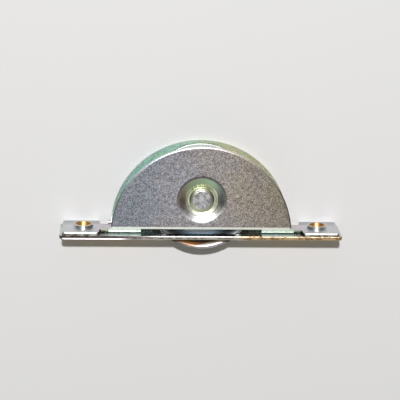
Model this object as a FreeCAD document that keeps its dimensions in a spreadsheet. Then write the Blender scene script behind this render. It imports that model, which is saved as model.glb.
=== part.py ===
import FreeCAD, Part
import math
import os
import Sketcher

# Recessed pulley for a shutter strap or a sash cord, in millimetres.
# X runs along the faceplate, Y along the axle, Z from the faceplate into the wall.
# The origin is the middle of the faceplate's back, where it meets the case.

Vector = FreeCAD.Vector
doc = FreeCAD.newDocument("pulley")

# Driving sizes

DRIVING_SIZES = {
    # faceplate: a strip with a slot and two drawn screw sleeves
    "plate_length": 120.0,
    "plate_width": 19.0,
    "plate_thickness": 1.5,
    "plate_corner": 1.6,
    "plate_slot_length": 41.0,
    "plate_slot_corner": 1.5,
    # case: one folded blank
    "case_sheet": 1.5,
    "case_length": 117.8,
    "tab_width": 18.7,
    "tab_length": 15.6,
    "tab_corner": 1.4,
    "tab_shoulder_rounding": 1.3,
    "neck_rounding": 1.0,
    "neck_width": 9.0,
    "relief_length": 3.8,
    "case_slot_length": 51.4,
    "bend_radius": 0.6,
    "fold_shoulder": 0.3,
    "cheek_radius": 38.4,
    "cheek_drop": 0.3,
    # axle and the dished bosses that clamp the inner ring
    "axle_height": 15.0,
    "axle_radius": 4.0,
    "dish_radius": 9.6,
    "dish_rounding": 3.0,
    "dish_step_radius": 7.2,
    "dish_step_depth": 0.4,
    "dish_floor_radius": 5.8,
    "dish_floor_fall": 0.5,
    "rivet_head_radius": 5.4,
    "rivet_head_height": 1.5,
    "rivet_head_rounding": 1.1,
    # screw holes and their sleeves
    "screw_spacing": 100.0,
    "screw_hole_radius": 3.2,
    "sleeve_wall": 0.95,
    "sleeve_stand": 1.3,
    "countersink_depth": 1.1,
    # wheel: two pressed discs, back to back
    "wheel_radius": 22.25,
    "wheel_width": 9.2,
    "wheel_sheet": 1.2,
    "groove_radius": 15.6,
    "flare_radius": 7.0,
    "rim_land": 0.9,
    "hub_wall": 1.3,
    "wheel_side_gap": 0.8,
    "wheel_slot_gap": 0.9,
    # ball bearing in the wheel
    "bearing_width": 7.0,
    "bearing_outer_radius": 11.0,
    "outer_land_radius": 8.95,
    "inner_land_radius": 6.05,
    "ball_pitch_radius": 7.5,
    "ball_radius": 1.984,
    "ball_count": 7,
    "cage_wall": 2.0,
    "cage_back": 0.5,
    "cage_open_side": 1.2,
    "pocket_gap": 0.12,
    "shield_thickness": 0.3,
    "shield_inset": 0.2,
    "shield_seat_depth": 0.6,
    "shield_gap": 0.25,
}

sheet = doc.addObject("Spreadsheet::Sheet", "sizes")
for row, (alias, size) in enumerate(DRIVING_SIZES.items(), start=1):
    sheet.set(f"A{row}", alias)
    sheet.set(f"B{row}", str(size))
    sheet.setAlias(f"B{row}", alias)
doc.recompute()

# Sizes that follow from the driving ones, as expressions of the sheet

plate_end = "sizes.plate_length / 2"
plate_side = "sizes.plate_width / 2"
case_end = "sizes.case_length / 2"
tab_side = "sizes.tab_width / 2"
tab_start = f"({case_end} - sizes.tab_length)"
fold_end = f"({tab_start} - sizes.relief_length)"
neck_side = "sizes.neck_width / 2"
case_slot_end = "sizes.case_slot_length / 2"
plate_slot_end = "sizes.plate_slot_length / 2"
plate_slot_side = "(sizes.wheel_width / 2 + sizes.wheel_slot_gap)"
cheek_inside = "(sizes.wheel_width / 2 + sizes.wheel_side_gap)"
cheek_outside = f"({cheek_inside} + sizes.case_sheet)"
bend_outside = "(sizes.case_sheet + sizes.bend_radius)"
bearing_side = "sizes.bearing_width / 2"
boss_inside = bearing_side
dish_floor = f"({bearing_side} + sizes.case_sheet)"
rim_side = "sizes.wheel_width / 2"
sleeve_radius = "(sizes.screw_hole_radius + sizes.sleeve_wall)"
sleeve_top = "(sizes.case_sheet + sizes.sleeve_stand)"
screw_place = "sizes.screw_spacing / 2"
shield_outside = f"({bearing_side} - sizes.shield_inset)"
shield_inside = f"({shield_outside} - sizes.shield_thickness)"
shield_radius = "(sizes.outer_land_radius + sizes.shield_seat_depth)"


def value(expression):
    """The present value of an expression of the sheet."""
    result = sheet.evalExpression(str(expression))
    return float(getattr(result, "Value", result))


# Helpers for sketches and features

SUB_PARTS = []
ORIGIN_POINT = -1
START, END, CENTRE = 1, 2, 3


def new_body(name):
    body = doc.addObject("PartDesign::Body", name)
    SUB_PARTS.append(body)
    return body


def origin_feature(body, role):
    return next(item for item in body.Origin.OriginFeatures if item.Role == role)


def new_sketch(body, name, role):
    """An empty sketch on one of the body's own origin planes."""
    sketch = body.newObject("Sketcher::SketchObject", name)
    sketch.AttachmentSupport = [(origin_feature(body, role), "")]
    sketch.MapMode = "FlatFace"
    return sketch


def bind(sketch, constraint, name, expression):
    """Adds a sized constraint and ties it to the sheet."""
    index = sketch.addConstraint(constraint)
    sketch.renameConstraint(index, name)
    sketch.setExpression(f"Constraints.{name}", expression)


def arc_between(start, end, radius, towards):
    """An arc that bulges towards a direction, and whether it runs on from start to end.

    An arc of a sketch is counter-clockwise, so one that bulges to the left of its way from
    start to end runs back from end to start.
    """
    way = (end - start).normalize()
    left = Vector(-way.y, way.x, 0)
    runs_on = left.dot(towards) < 0
    bulge = left * -1 if runs_on else left
    half = (end - start).Length / 2
    rise = math.sqrt(max(radius * radius - half * half, 0.0))
    centre = (start + end) / 2 - bulge * rise
    angles = [math.atan2(point.y - centre.y, point.x - centre.x) for point in (start, end)]
    if not runs_on:
        angles.reverse()
    circle = Part.Circle(centre, Vector(0, 0, 1), radius)
    return Part.ArcOfCircle(circle, *angles), runs_on


def outline(sketch, tag, points, arcs=None):
    """A closed outline with every corner tied to the sheet.

    points holds a pair of expressions for each corner. arcs gives, for the number of a side
    that is an arc, its radius and a direction towards which it bulges.
    """
    arcs = arcs or {}
    corners = [Vector(value(across), value(up), 0) for across, up in points]
    count = len(corners)
    first = sketch.GeometryCount
    ends = []
    for side in range(count):
        start, end = corners[side], corners[(side + 1) % count]
        runs_on = True
        if side in arcs:
            radius, towards = arcs[side]
            line, runs_on = arc_between(start, end, value(radius), towards)
        else:
            line = Part.LineSegment(start, end)
        sketch.addGeometry(line, False)
        ends.append((START, END) if runs_on else (END, START))
    for side in range(count):
        following = (side + 1) % count
        meeting = (first + side, ends[side][1], first + following, ends[following][0])
        sketch.addConstraint(Sketcher.Constraint("Coincident", *meeting))
    for side, (across, up) in enumerate(points):
        corner = (ORIGIN_POINT, START, first + side, ends[side][0])
        distance = Sketcher.Constraint("DistanceX", *corner, corners[side].x)
        bind(sketch, distance, f"{tag}_across_{side}", across)
        distance = Sketcher.Constraint("DistanceY", *corner, corners[side].y)
        bind(sketch, distance, f"{tag}_up_{side}", up)
    for side, (radius, _towards) in arcs.items():
        size = Sketcher.Constraint("Radius", first + side, value(radius))
        bind(sketch, size, f"{tag}_radius_{side}", radius)


def rectangle(sketch, tag, left, right, low, high):
    outline(sketch, tag, [(left, low), (right, low), (right, high), (left, high)])


def circle(sketch, tag, across, up, radius):
    """A circle whose centre and radius are tied to the sheet."""
    centre = Vector(value(across), value(up), 0)
    at = sketch.addGeometry(Part.Circle(centre, Vector(0, 0, 1), value(radius)), False)
    distance = Sketcher.Constraint("DistanceX", ORIGIN_POINT, START, at, CENTRE, centre.x)
    bind(sketch, distance, f"{tag}_across", across)
    distance = Sketcher.Constraint("DistanceY", ORIGIN_POINT, START, at, CENTRE, centre.y)
    bind(sketch, distance, f"{tag}_up", up)
    bind(sketch, Sketcher.Constraint("Radius", at, value(radius)), f"{tag}_radius", radius)


def pad(body, sketch, length, side_type="One side", reversed_way=False):
    feature = body.newObject("PartDesign::Pad", f"{sketch.Name}_pad")
    feature.Profile = sketch
    feature.SideType = side_type
    feature.Reversed = reversed_way
    feature.setExpression("Length", length)
    doc.recompute()
    return feature


def pocket(body, sketch, length):
    """A cut to both sides of its sketch, which must take material away."""
    before = body.Shape.Volume
    feature = body.newObject("PartDesign::Pocket", f"{sketch.Name}_cut")
    feature.Profile = sketch
    feature.SideType = "Symmetric"
    feature.setExpression("Length", length)
    doc.recompute()
    if not body.Shape.Volume < before:
        raise RuntimeError(f"{feature.Name} cuts nothing")
    return feature


def turn(body, sketch, kind="PartDesign::Revolution", axis="H_Axis"):
    """A full turn of a sketch about one of its own axes."""
    before = 0.0 if body.Shape.isNull() else body.Shape.Volume
    feature = body.newObject(kind, f"{sketch.Name}_turn")
    feature.Profile = sketch
    feature.ReferenceAxis = (sketch, [axis])
    feature.Angle = 360
    doc.recompute()
    if kind == "PartDesign::Groove" and not body.Shape.Volume < before:
        raise RuntimeError(f"{feature.Name} cuts nothing")
    return feature


def edges_where(shape, test):
    """The names of the edges of a shape for which the test holds."""
    return [f"Edge{number}" for number, edge in enumerate(shape.Edges, start=1) if test(edge)]


def near(first, second):
    return abs(first - second) < 0.01


def dress(body, kind, name, size_name, size, test):
    """A fillet or a chamfer on the edges of the body's last feature that pass the test."""
    base = body.Tip
    names = edges_where(base.Shape, test)
    if not names:
        raise RuntimeError(f"{name} finds no edge")
    feature = body.newObject(kind, name)
    feature.Base = (base, names)
    feature.setExpression(size_name, size)
    doc.recompute()
    return feature


def is_line_along(edge, axis):
    if not isinstance(edge.Curve, Part.Line):
        return False
    return abs(abs(edge.Curve.Direction.dot(axis)) - 1.0) < 1e-6


ALONG_X, ALONG_Z = Vector(1, 0, 0), Vector(0, 0, 1)


# Case: one blank of sheet steel, folded to a channel with two half-round cheeks

case = new_body("case_body")

cheek_foot = f"({bend_outside} + sizes.fold_shoulder)"
arc_foot = f"sqrt(sizes.cheek_radius^2 - ({cheek_foot} + sizes.cheek_drop)^2)"
side_view = new_sketch(case, "cheek_outline", "XZ_Plane")
outline(
    side_view,
    "cheek",
    [
        (f"-{fold_end}", "0"),
        (fold_end, "0"),
        (fold_end, cheek_foot),
        (arc_foot, cheek_foot),
        (f"-{arc_foot}", cheek_foot),
        (f"-{fold_end}", cheek_foot),
    ],
    arcs={3: ("sizes.cheek_radius", Vector(0, 1, 0))},
)
pad(case, side_view, f"2 * {cheek_outside}", side_type="Symmetric")

channel = new_sketch(case, "channel", "YZ_Plane")
cheek_clear = "2 * sizes.cheek_radius"
rectangle(channel, "inside", f"-{cheek_inside}", cheek_inside, "sizes.case_sheet", cheek_clear)
pocket(case, channel, "2 * sizes.case_length")

# The folds are round inside and outside.
dress(
    case, "PartDesign::Fillet", "folds_outside", "Radius", bend_outside,
    lambda edge: is_line_along(edge, ALONG_X)
    and near(edge.CenterOfMass.z, 0)
    and near(abs(edge.CenterOfMass.y), value(cheek_outside)),
)
dress(
    case, "PartDesign::Fillet", "folds_inside", "Radius", "sizes.bend_radius",
    lambda edge: is_line_along(edge, ALONG_X)
    and near(edge.CenterOfMass.z, value("sizes.case_sheet"))
    and near(abs(edge.CenterOfMass.y), value(cheek_inside)),
)

# A tab at each end, joined to the channel by a neck between its two relief notches.
tabs = new_sketch(case, "tabs", "XY_Plane")
for tag, way in (("left", "-1"), ("right", "1")):
    neck_root = f"{way} * ({fold_end} - sizes.case_sheet)"
    notch_end = f"{way} * {tab_start}"
    tab_end = f"{way} * {case_end}"
    outline(
        tabs,
        tag,
        [
            (neck_root, f"-{neck_side}"),
            (notch_end, f"-{neck_side}"),
            (notch_end, f"-{tab_side}"),
            (tab_end, f"-{tab_side}"),
            (tab_end, tab_side),
            (notch_end, tab_side),
            (notch_end, neck_side),
            (neck_root, neck_side),
        ],
    )
pad(case, tabs, "sizes.case_sheet")
for name, rounding, across, aside in (
    ("tab_corners", "sizes.tab_corner", case_end, tab_side),
    ("tab_shoulders", "sizes.tab_shoulder_rounding", tab_start, tab_side),
    ("neck_roots", "sizes.neck_rounding", tab_start, neck_side),
):
    dress(
        case, "PartDesign::Fillet", name, "Radius", rounding,
        lambda edge: is_line_along(edge, ALONG_Z)
        and near(abs(edge.CenterOfMass.x), value(across))
        and near(abs(edge.CenterOfMass.y), value(aside)),
    )

# The slot for the wheel takes the folds away too, up to the foot of the cheeks.
case_slot = new_sketch(case, "case_slot", "XZ_Plane")
rectangle(case_slot, "slot", f"-{case_slot_end}", case_slot_end, "-sizes.case_sheet", cheek_foot)
pocket(case, case_slot, "2 * sizes.tab_width")

# Each cheek is dished inwards round the axle, in two steps with a rounded mouth.
bosses = new_sketch(case, "bosses", "YZ_Plane")
bosses.setExpression("AttachmentOffset.Base.y", "sizes.axle_height")
dishes = new_sketch(case, "dishes", "YZ_Plane")
dishes.setExpression("AttachmentOffset.Base.y", "sizes.axle_height")
boss_root = f"({cheek_inside} + sizes.case_sheet / 2)"
dish_mouth = f"({cheek_outside} + sizes.case_sheet)"
dish_ledge = f"({dish_floor} + sizes.dish_floor_fall)"
dish_shelf = f"({dish_ledge} + sizes.dish_step_depth)"
dish_ledge_radius = "(sizes.dish_step_radius - sizes.dish_step_depth / 2)"
for tag, way in (("front", "-1"), ("back", "1")):
    outline(
        bosses,
        tag,
        [
            (f"{way} * {boss_inside}", "0"),
            (f"{way} * {boss_inside}", "sizes.inner_land_radius"),
            (f"{way} * {cheek_inside}", "sizes.dish_radius"),
            (f"{way} * {boss_root}", "sizes.dish_radius"),
            (f"{way} * {boss_root}", "0"),
        ],
    )
    outline(
        dishes,
        tag,
        [
            (f"{way} * {dish_floor}", "0"),
            (f"{way} * {dish_floor}", "sizes.dish_floor_radius"),
            (f"{way} * {dish_ledge}", dish_ledge_radius),
            (f"{way} * {dish_shelf}", "sizes.dish_step_radius"),
            (f"{way} * {cheek_outside}", "sizes.dish_radius"),
            (f"{way} * {dish_mouth}", "sizes.dish_radius"),
            (f"{way} * {dish_mouth}", "0"),
        ],
    )
turn(case, bosses)
turn(case, dishes, "PartDesign::Groove")
dress(
    case, "PartDesign::Fillet", "dish_mouths", "Radius", "sizes.dish_rounding",
    lambda edge: isinstance(edge.Curve, Part.Circle)
    and near(edge.Curve.Radius, value("sizes.dish_radius"))
    and near(abs(edge.CenterOfMass.y), value(cheek_outside)),
)

axle_hole = new_sketch(case, "axle_hole", "XZ_Plane")
circle(axle_hole, "hole", "0", "sizes.axle_height", "sizes.axle_radius")
pocket(case, axle_hole, "2 * sizes.tab_width")

sleeve_holes = new_sketch(case, "sleeve_holes", "XY_Plane")
circle(sleeve_holes, "left", f"-{screw_place}", "0", sleeve_radius)
circle(sleeve_holes, "right", screw_place, "0", sleeve_radius)
pocket(case, sleeve_holes, "4 * sizes.case_sheet")


# Faceplate: one strip, with the screw sleeves drawn out of it through the tabs

plate = new_body("faceplate")
strip = new_sketch(plate, "strip", "XY_Plane")
rectangle(strip, "strip", f"-{plate_end}", plate_end, f"-{plate_side}", plate_side)
pad(plate, strip, "sizes.plate_thickness", reversed_way=True)
dress(
    plate, "PartDesign::Fillet", "plate_corners", "Radius", "sizes.plate_corner",
    lambda edge: is_line_along(edge, ALONG_Z),
)

plate_slot = new_sketch(plate, "plate_slot", "XY_Plane")
rectangle(
    plate_slot, "slot",
    f"-{plate_slot_end}", plate_slot_end, f"-{plate_slot_side}", plate_slot_side,
)
pocket(plate, plate_slot, "4 * sizes.plate_thickness")
dress(
    plate, "PartDesign::Fillet", "slot_corners", "Radius", "sizes.plate_slot_corner",
    lambda edge: is_line_along(edge, ALONG_Z)
    and near(abs(edge.CenterOfMass.x), value(plate_slot_end)),
)

sleeves = new_sketch(plate, "sleeves", "XY_Plane")
screw_holes = new_sketch(plate, "screw_holes", "XY_Plane")
for tag, way in (("left", "-1"), ("right", "1")):
    circle(sleeves, tag, f"{way} * {screw_place}", "0", sleeve_radius)
    circle(screw_holes, tag, f"{way} * {screw_place}", "0", "sizes.screw_hole_radius")
pad(plate, sleeves, sleeve_top)
pocket(plate, screw_holes, f"4 * {sleeve_top}")
dress(
    plate, "PartDesign::Fillet", "sleeve_lips", "Radius", "sizes.sleeve_wall * 0.45",
    lambda edge: isinstance(edge.Curve, Part.Circle)
    and near(edge.CenterOfMass.z, value(sleeve_top))
    and near(edge.Curve.Radius, value(sleeve_radius)),
)
dress(
    plate, "PartDesign::Chamfer", "countersinks", "Size", "sizes.countersink_depth",
    lambda edge: isinstance(edge.Curve, Part.Circle)
    and near(edge.CenterOfMass.z, -value("sizes.plate_thickness"))
    and near(edge.Curve.Radius, value("sizes.screw_hole_radius")),
)


# Pieces turned about the axle: each section is drawn with the axle as its level line

def turned_body(name, points, arcs=None):
    """A body with its axis along Y at the height of the axle."""
    body = new_body(name)
    section = new_sketch(body, f"{name}_section", "YZ_Plane")
    outline(section, "section", points, arcs)
    turn(body, section)
    body.setExpression("Placement.Base.z", "sizes.axle_height")
    return body


# Axle: a steel pin, peened over the floors of both dishes

head_top = f"({dish_floor} + sizes.rivet_head_height)"
head_rounding = "sizes.rivet_head_rounding"
turned_body(
    "axle_rivet",
    [
        (f"-{head_top}", "0"),
        (head_top, "0"),
        (head_top, "(sizes.rivet_head_radius - sizes.rivet_head_rounding)"),
        (f"({head_top} - sizes.rivet_head_rounding)", "sizes.rivet_head_radius"),
        (dish_floor, "sizes.rivet_head_radius"),
        (dish_floor, "sizes.axle_radius"),
        (f"-{dish_floor}", "sizes.axle_radius"),
        (f"-{dish_floor}", "sizes.rivet_head_radius"),
        (f"-({head_top} - sizes.rivet_head_rounding)", "sizes.rivet_head_radius"),
        (f"-{head_top}", "(sizes.rivet_head_radius - sizes.rivet_head_rounding)"),
    ],
    arcs={2: (head_rounding, Vector(1, 1, 0)), 8: (head_rounding, Vector(-1, 1, 0))},
)


# Wheel: two pressed discs, back to back, each with a hub flange and a curved flare to its rim

hub_radius = "(sizes.bearing_outer_radius + sizes.hub_wall)"
rim_inside = f"({rim_side} - sizes.rim_land)"
for name, way in (("wheel_disc_front", "-1"), ("wheel_disc_back", "1")):
    to_groove = Vector(float(way), -1, 0)
    disc = turned_body(
        name,
        [
            (f"{way} * 0", "sizes.bearing_outer_radius"),
            (f"{way} * 0", "sizes.groove_radius"),
            (f"{way} * {rim_inside}", "(sizes.wheel_radius - sizes.rim_land * 0.6)"),
            (f"{way} * {rim_inside}", "sizes.wheel_radius"),
            (f"{way} * {rim_side}", "sizes.wheel_radius"),
            (f"{way} * {rim_side}", "(sizes.wheel_radius - sizes.wheel_sheet)"),
            (f"{way} * sizes.wheel_sheet", "(sizes.groove_radius + sizes.wheel_sheet * 0.3)"),
            (f"{way} * sizes.wheel_sheet", hub_radius),
            (f"{way} * {bearing_side}", hub_radius),
            (f"{way} * {bearing_side}", "sizes.bearing_outer_radius"),
        ],
        arcs={
            1: ("sizes.flare_radius", to_groove),
            5: ("(sizes.flare_radius + sizes.wheel_sheet / 2)", to_groove),
        },
    )
    dress(
        disc, "PartDesign::Fillet", f"{name}_rim_rounding", "Radius", "sizes.rim_land * 0.45",
        lambda edge: isinstance(edge.Curve, Part.Circle)
        and near(edge.Curve.Radius, value("sizes.wheel_radius")),
    )


# Bearing: two grooved rings with a ring of balls between them

def ring_body(name, seat, land, race_centre):
    """A bearing ring from its seat to its land, with a race for the balls."""
    ring = turned_body(
        name,
        [
            (f"-{bearing_side}", seat),
            (bearing_side, seat),
            (bearing_side, land),
            (f"-{bearing_side}", land),
        ],
    )
    race = new_sketch(ring, f"{name}_race", "YZ_Plane")
    half_width = f"sqrt(sizes.ball_radius^2 - ({land} - {race_centre})^2)"
    bulge = Vector(0, 1, 0) if value(land) > value(race_centre) else Vector(0, -1, 0)
    corners = [(half_width, land), (f"-{half_width}", land)]
    if bulge.y < 0:
        corners.reverse()
    outline(race, "race", corners, arcs={0: ("sizes.ball_radius", bulge)})
    turn(ring, race, "PartDesign::Groove")
    return ring


ring_body("bearing_inner_ring", "sizes.axle_radius", "sizes.inner_land_radius",
          "sizes.ball_pitch_radius")
outer_ring = ring_body("bearing_outer_ring", "sizes.bearing_outer_radius",
                       "sizes.outer_land_radius", "sizes.ball_pitch_radius")

# The outer ring has a step on each side, where a shield is pressed in.
steps = new_sketch(outer_ring, "shield_steps", "YZ_Plane")
for tag, way in (("front", "-1"), ("back", "1")):
    outline(
        steps,
        tag,
        [
            (f"{way} * {shield_inside}", "(sizes.outer_land_radius - sizes.shield_seat_depth)"),
            (f"{way} * {shield_inside}", shield_radius),
            (f"{way} * ({bearing_side} + 1)", shield_radius),
            (f"{way} * ({bearing_side} + 1)", "(sizes.outer_land_radius - sizes.shield_seat_depth)"),
        ],
    )
turn(outer_ring, steps, "PartDesign::Groove")

shield_bore = "(sizes.inner_land_radius + sizes.shield_gap)"
for name, way in (("bearing_shield_front", "-1"), ("bearing_shield_back", "1")):
    turned_body(
        name,
        [
            (f"{way} * {shield_inside}", shield_bore),
            (f"{way} * {shield_inside}", shield_radius),
            (f"{way} * {shield_outside}", shield_radius),
            (f"{way} * {shield_outside}", shield_bore),
        ],
    )

# Balls and their crown cage, which holds each ball in a pocket open to the back
ball_count = int(value("sizes.ball_count"))
for number in range(ball_count):
    turned = f"{number} * 360 deg / sizes.ball_count"
    ball = doc.addObject("Part::Sphere", f"ball_{number + 1}")
    ball.setExpression("Radius", "sizes.ball_radius")
    ball.setExpression("Placement.Base.x", f"sizes.ball_pitch_radius * sin({turned})")
    ball.setExpression(
        "Placement.Base.z", f"sizes.axle_height + sizes.ball_pitch_radius * cos({turned})"
    )
    SUB_PARTS.append(ball)

pocket_radius = "(sizes.ball_radius + sizes.pocket_gap)"
cage_back = f"({pocket_radius} + sizes.cage_back)"
cage = new_body("bearing_cage")
cage_section = new_sketch(cage, "cage_section", "YZ_Plane")
rectangle(
    cage_section, "ring", f"-{cage_back}", "sizes.cage_open_side",
    "(sizes.ball_pitch_radius - sizes.cage_wall / 2)",
    "(sizes.ball_pitch_radius + sizes.cage_wall / 2)",
)
turn(cage, cage_section)
first_pocket = cage.newObject("PartDesign::SubtractiveSphere", "first_pocket")
first_pocket.AttachmentSupport = [(origin_feature(cage, "XY_Plane"), "")]
first_pocket.MapMode = "FlatFace"
first_pocket.setExpression("Radius", pocket_radius)
first_pocket.setExpression("AttachmentOffset.Base.z", "sizes.ball_pitch_radius")
doc.recompute()
pockets = cage.newObject("PartDesign::PolarPattern", "pockets")
pockets.Originals = [first_pocket]
pockets.Axis = (origin_feature(cage, "Y_Axis"), [""])
pockets.Angle = 360
pockets.setExpression("Occurrences", "sizes.ball_count")
cage.Tip = pockets
cage.setExpression("Placement.Base.z", "sizes.axle_height")
doc.recompute()


# Every feature has to be sound before anything is written

for item in doc.Objects:
    if "Invalid" in item.State or "Error" in item.State:
        raise RuntimeError(f"{item.Name} failed: {item.State}")
for sub_part in SUB_PARTS:
    shape = sub_part.Shape
    if shape.isNull() or not shape.isValid() or len(shape.Solids) != 1:
        raise RuntimeError(f"{sub_part.Label} is not one sound solid")

os.makedirs("parts", exist_ok=True)
for sub_part in SUB_PARTS:
    sub_part.Shape.exportStep(f"parts/{sub_part.Label}.step")
    box = sub_part.Shape.BoundBox
    print(
        f"{sub_part.Label}: {sub_part.Shape.Volume:.1f} mm3, "
        f"{box.XLength:.2f} x {box.YLength:.2f} x {box.ZLength:.2f}"
    )
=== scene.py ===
import math

import bpy
from mathutils import Matrix, Vector


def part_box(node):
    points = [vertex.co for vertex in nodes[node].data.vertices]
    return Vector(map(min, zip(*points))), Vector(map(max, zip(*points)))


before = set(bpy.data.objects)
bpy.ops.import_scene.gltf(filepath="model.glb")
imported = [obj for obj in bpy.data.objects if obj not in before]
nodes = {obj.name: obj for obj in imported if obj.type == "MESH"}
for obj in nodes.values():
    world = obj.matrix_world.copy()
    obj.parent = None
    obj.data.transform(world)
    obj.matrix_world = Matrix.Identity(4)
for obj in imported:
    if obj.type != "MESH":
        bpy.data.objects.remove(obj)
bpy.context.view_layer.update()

scene = bpy.context.scene
scene.view_settings.view_transform = "Standard"


# Camera: it looks along the axle from a little above the faceplate, as the photo does.
# The pulley lies on its far side there, so the picture's up is this frame's +Z.

CAMERA_YAW = math.radians(3.17)
CAMERA_RISE = math.radians(14.576)
CAMERA_ROLL = math.radians(1.204)
CAMERA_DISTANCE = 0.6456
CAMERA_LENS_PX = 1514.3
PHOTO_WIDTH_PX = 400
SENSOR_WIDTH = 36.0
NEAREST_SEEN = 0.01
camera_target = Vector((-0.00047, 0.0, 0.01345))

sight = Vector((
    math.sin(CAMERA_YAW) * math.cos(CAMERA_RISE),
    math.cos(CAMERA_YAW) * math.cos(CAMERA_RISE),
    -math.sin(CAMERA_RISE),
))
level_right = Vector((math.cos(CAMERA_YAW), -math.sin(CAMERA_YAW), 0.0))
level_up = level_right.cross(sight)
camera_right = math.cos(CAMERA_ROLL) * level_right + math.sin(CAMERA_ROLL) * level_up
camera_up = math.cos(CAMERA_ROLL) * level_up - math.sin(CAMERA_ROLL) * level_right
camera_place = camera_target - sight * CAMERA_DISTANCE


def facing(place, right, up, ahead):
    """The matrix of an object at a place that looks along ahead."""
    turned = Matrix((right, up, -ahead)).transposed()
    return Matrix.Translation(place) @ turned.to_4x4()


camera_data = bpy.data.cameras.new("camera")
camera_data.sensor_width = SENSOR_WIDTH
camera_data.lens = CAMERA_LENS_PX / PHOTO_WIDTH_PX * SENSOR_WIDTH
camera_data.clip_start = NEAREST_SEEN
camera = bpy.data.objects.new("camera", camera_data)
camera.matrix_world = facing(camera_place, camera_right, camera_up, sight)
scene.collection.objects.link(camera)
scene.camera = camera


# Table: the pale board on which the pulley lies, on its back cheek and the faceplate's back
# edge. It stands almost upright in this frame. It is clear from behind, so that the back shows.

TABLE_HALF = 3.0
TABLE_GAP = 0.00015
TABLE_COLOUR = (0.80, 0.80, 0.815, 1.0)
TABLE_ROUGHNESS = 0.6
CHEEK_BACK = 0.0069
CREASE_SHADE = (0.035, 0.04, 0.035, 1.0)
# Here and below, a step is a pair of values: a mask is 0 at the first and 1 at the second.
CREASE_BOTTOM_STEP = (-0.0054, -0.0046)
CREASE_TOP_STEP = (0.012, 0.002)
CREASE_END_STEP = (0.030, 0.024)
TOUCHING_STEP = (0.0065, 0.0055)

plate_low, plate_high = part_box("faceplate")
case_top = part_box("case_body")[1].z
table_foot = Vector((0.0, plate_high.y + TABLE_GAP, plate_low.z))
cheek_back = Vector((0.0, CHEEK_BACK + TABLE_GAP, case_top))
table_up = (cheek_back - table_foot).normalized()
table_right = Vector((1.0, 0.0, 0.0))
table_mesh = bpy.data.meshes.new("table")
table_mesh.from_pydata(
    [table_foot + table_right * across * TABLE_HALF + table_up * along * TABLE_HALF
     for across, along in ((-1, -1), (1, -1), (1, 1), (-1, 1))],
    [], [(0, 1, 2, 3)],
)
table = bpy.data.objects.new("table", table_mesh)
scene.collection.objects.link(table)
table.visible_shadow = False


def add(tree, kind, **settings):
    """A new node of a tree, with its settings."""
    node = tree.nodes.new("ShaderNode" + kind)
    for setting, choice in settings.items():
        setattr(node, setting, choice)
    return node


def feed(tree, socket, source):
    """Gives an input either another node's output or a plain value."""
    if isinstance(source, bpy.types.NodeSocket):
        tree.links.new(source, socket)
    else:
        socket.default_value = source


def coordinates(tree, kind):
    return add(tree, "TexCoord").outputs[kind]


def parts_of(tree, vector):
    """The three parts of a vector."""
    node = add(tree, "SeparateXYZ")
    feed(tree, node.inputs["Vector"], vector)
    return node.outputs


def worked_out(tree, operation, *sources):
    """The result of one sum of values, such as ADD."""
    node = add(tree, "Math", operation=operation)
    for socket, source in zip(node.inputs, sources):
        feed(tree, socket, source)
    return node.outputs["Value"]


def absolute(tree, source):
    return worked_out(tree, "ABSOLUTE", source)


def times(tree, product, *others):
    """Values multiplied together, such as masks that all have to hold."""
    for other in others:
        product = worked_out(tree, "MULTIPLY", product, other)
    return product


def mask(tree, source, step):
    """A soft step from 0 at its first value to 1 at its second, which may be the lower."""
    node = add(tree, "MapRange", interpolation_type="SMOOTHSTEP")
    feed(tree, node.inputs["Value"], source)
    for label, value in zip(("From Min", "From Max"), step):
        feed(tree, node.inputs[label], value)
    return node.outputs["Result"]


# The Mix node has sockets for each kind of value, and these are the ones for colours.
FIRST_COLOUR, SECOND_COLOUR, MIXED_COLOUR = 6, 7, 2


def tone(tree, blend, factor, first, second):
    """Two colours blended."""
    node = add(tree, "Mix", data_type="RGBA", blend_type=blend)
    feed(tree, node.inputs["Factor"], factor)
    feed(tree, node.inputs[FIRST_COLOUR], first)
    feed(tree, node.inputs[SECOND_COLOUR], second)
    return node.outputs[MIXED_COLOUR]


def either_of(tree, factor, first, second):
    """The first shader where the factor is 0 and the second where it is 1."""
    node = add(tree, "MixShader")
    for socket, source in zip(node.inputs, (factor, first, second)):
        feed(tree, socket, source)
    return node.outputs["Shader"]


table_paint = bpy.data.materials.new("table_paint")
table_paint.use_nodes = True
tree = table_paint.node_tree
tree.nodes.clear()
output = add(tree, "OutputMaterial")
paint = add(tree, "BsdfPrincipled")
across, _, up = parts_of(tree, coordinates(tree, "Object"))
# Painted shade: the crease under the faceplate's back edge is painted dark.
crease = times(
    tree, mask(tree, up, CREASE_BOTTOM_STEP), mask(tree, up, CREASE_TOP_STEP),
    mask(tree, absolute(tree, across), CREASE_END_STEP))
feed(tree, paint.inputs["Base Color"], tone(tree, "MIX", crease, TABLE_COLOUR, CREASE_SHADE))
feed(tree, paint.inputs["Roughness"], TABLE_ROUGHNESS)
# It is clear too where the pulley's back lies on it, so that the back mirrors the room.
path = add(tree, "LightPath")
touching = times(
    tree, mask(tree, path.outputs["Ray Length"], TOUCHING_STEP), path.outputs["Is Glossy Ray"])
side = add(tree, "NewGeometry")
clear = add(tree, "BsdfTransparent")
feed(tree, output.inputs["Surface"], either_of(
    tree, worked_out(tree, "MAXIMUM", side.outputs["Backfacing"], touching),
    paint.outputs["BSDF"], clear.outputs["BSDF"]))
table_mesh.materials.append(table_paint)


# Light: one small lamp above the camera, which throws the crisp shadow under the faceplate, and
# a room that the metal mirrors. The room is bright low down and high up, dim at the pulley's own
# height, and evenly bright beyond the table.

FLASH_RISE = 0.109
FLASH_AWAY = 2.5
FLASH_SIZE = 0.052
FLASH_POWER = 22.3
FLASH_COLOUR = (1.0, 0.99, 0.975)

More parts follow.
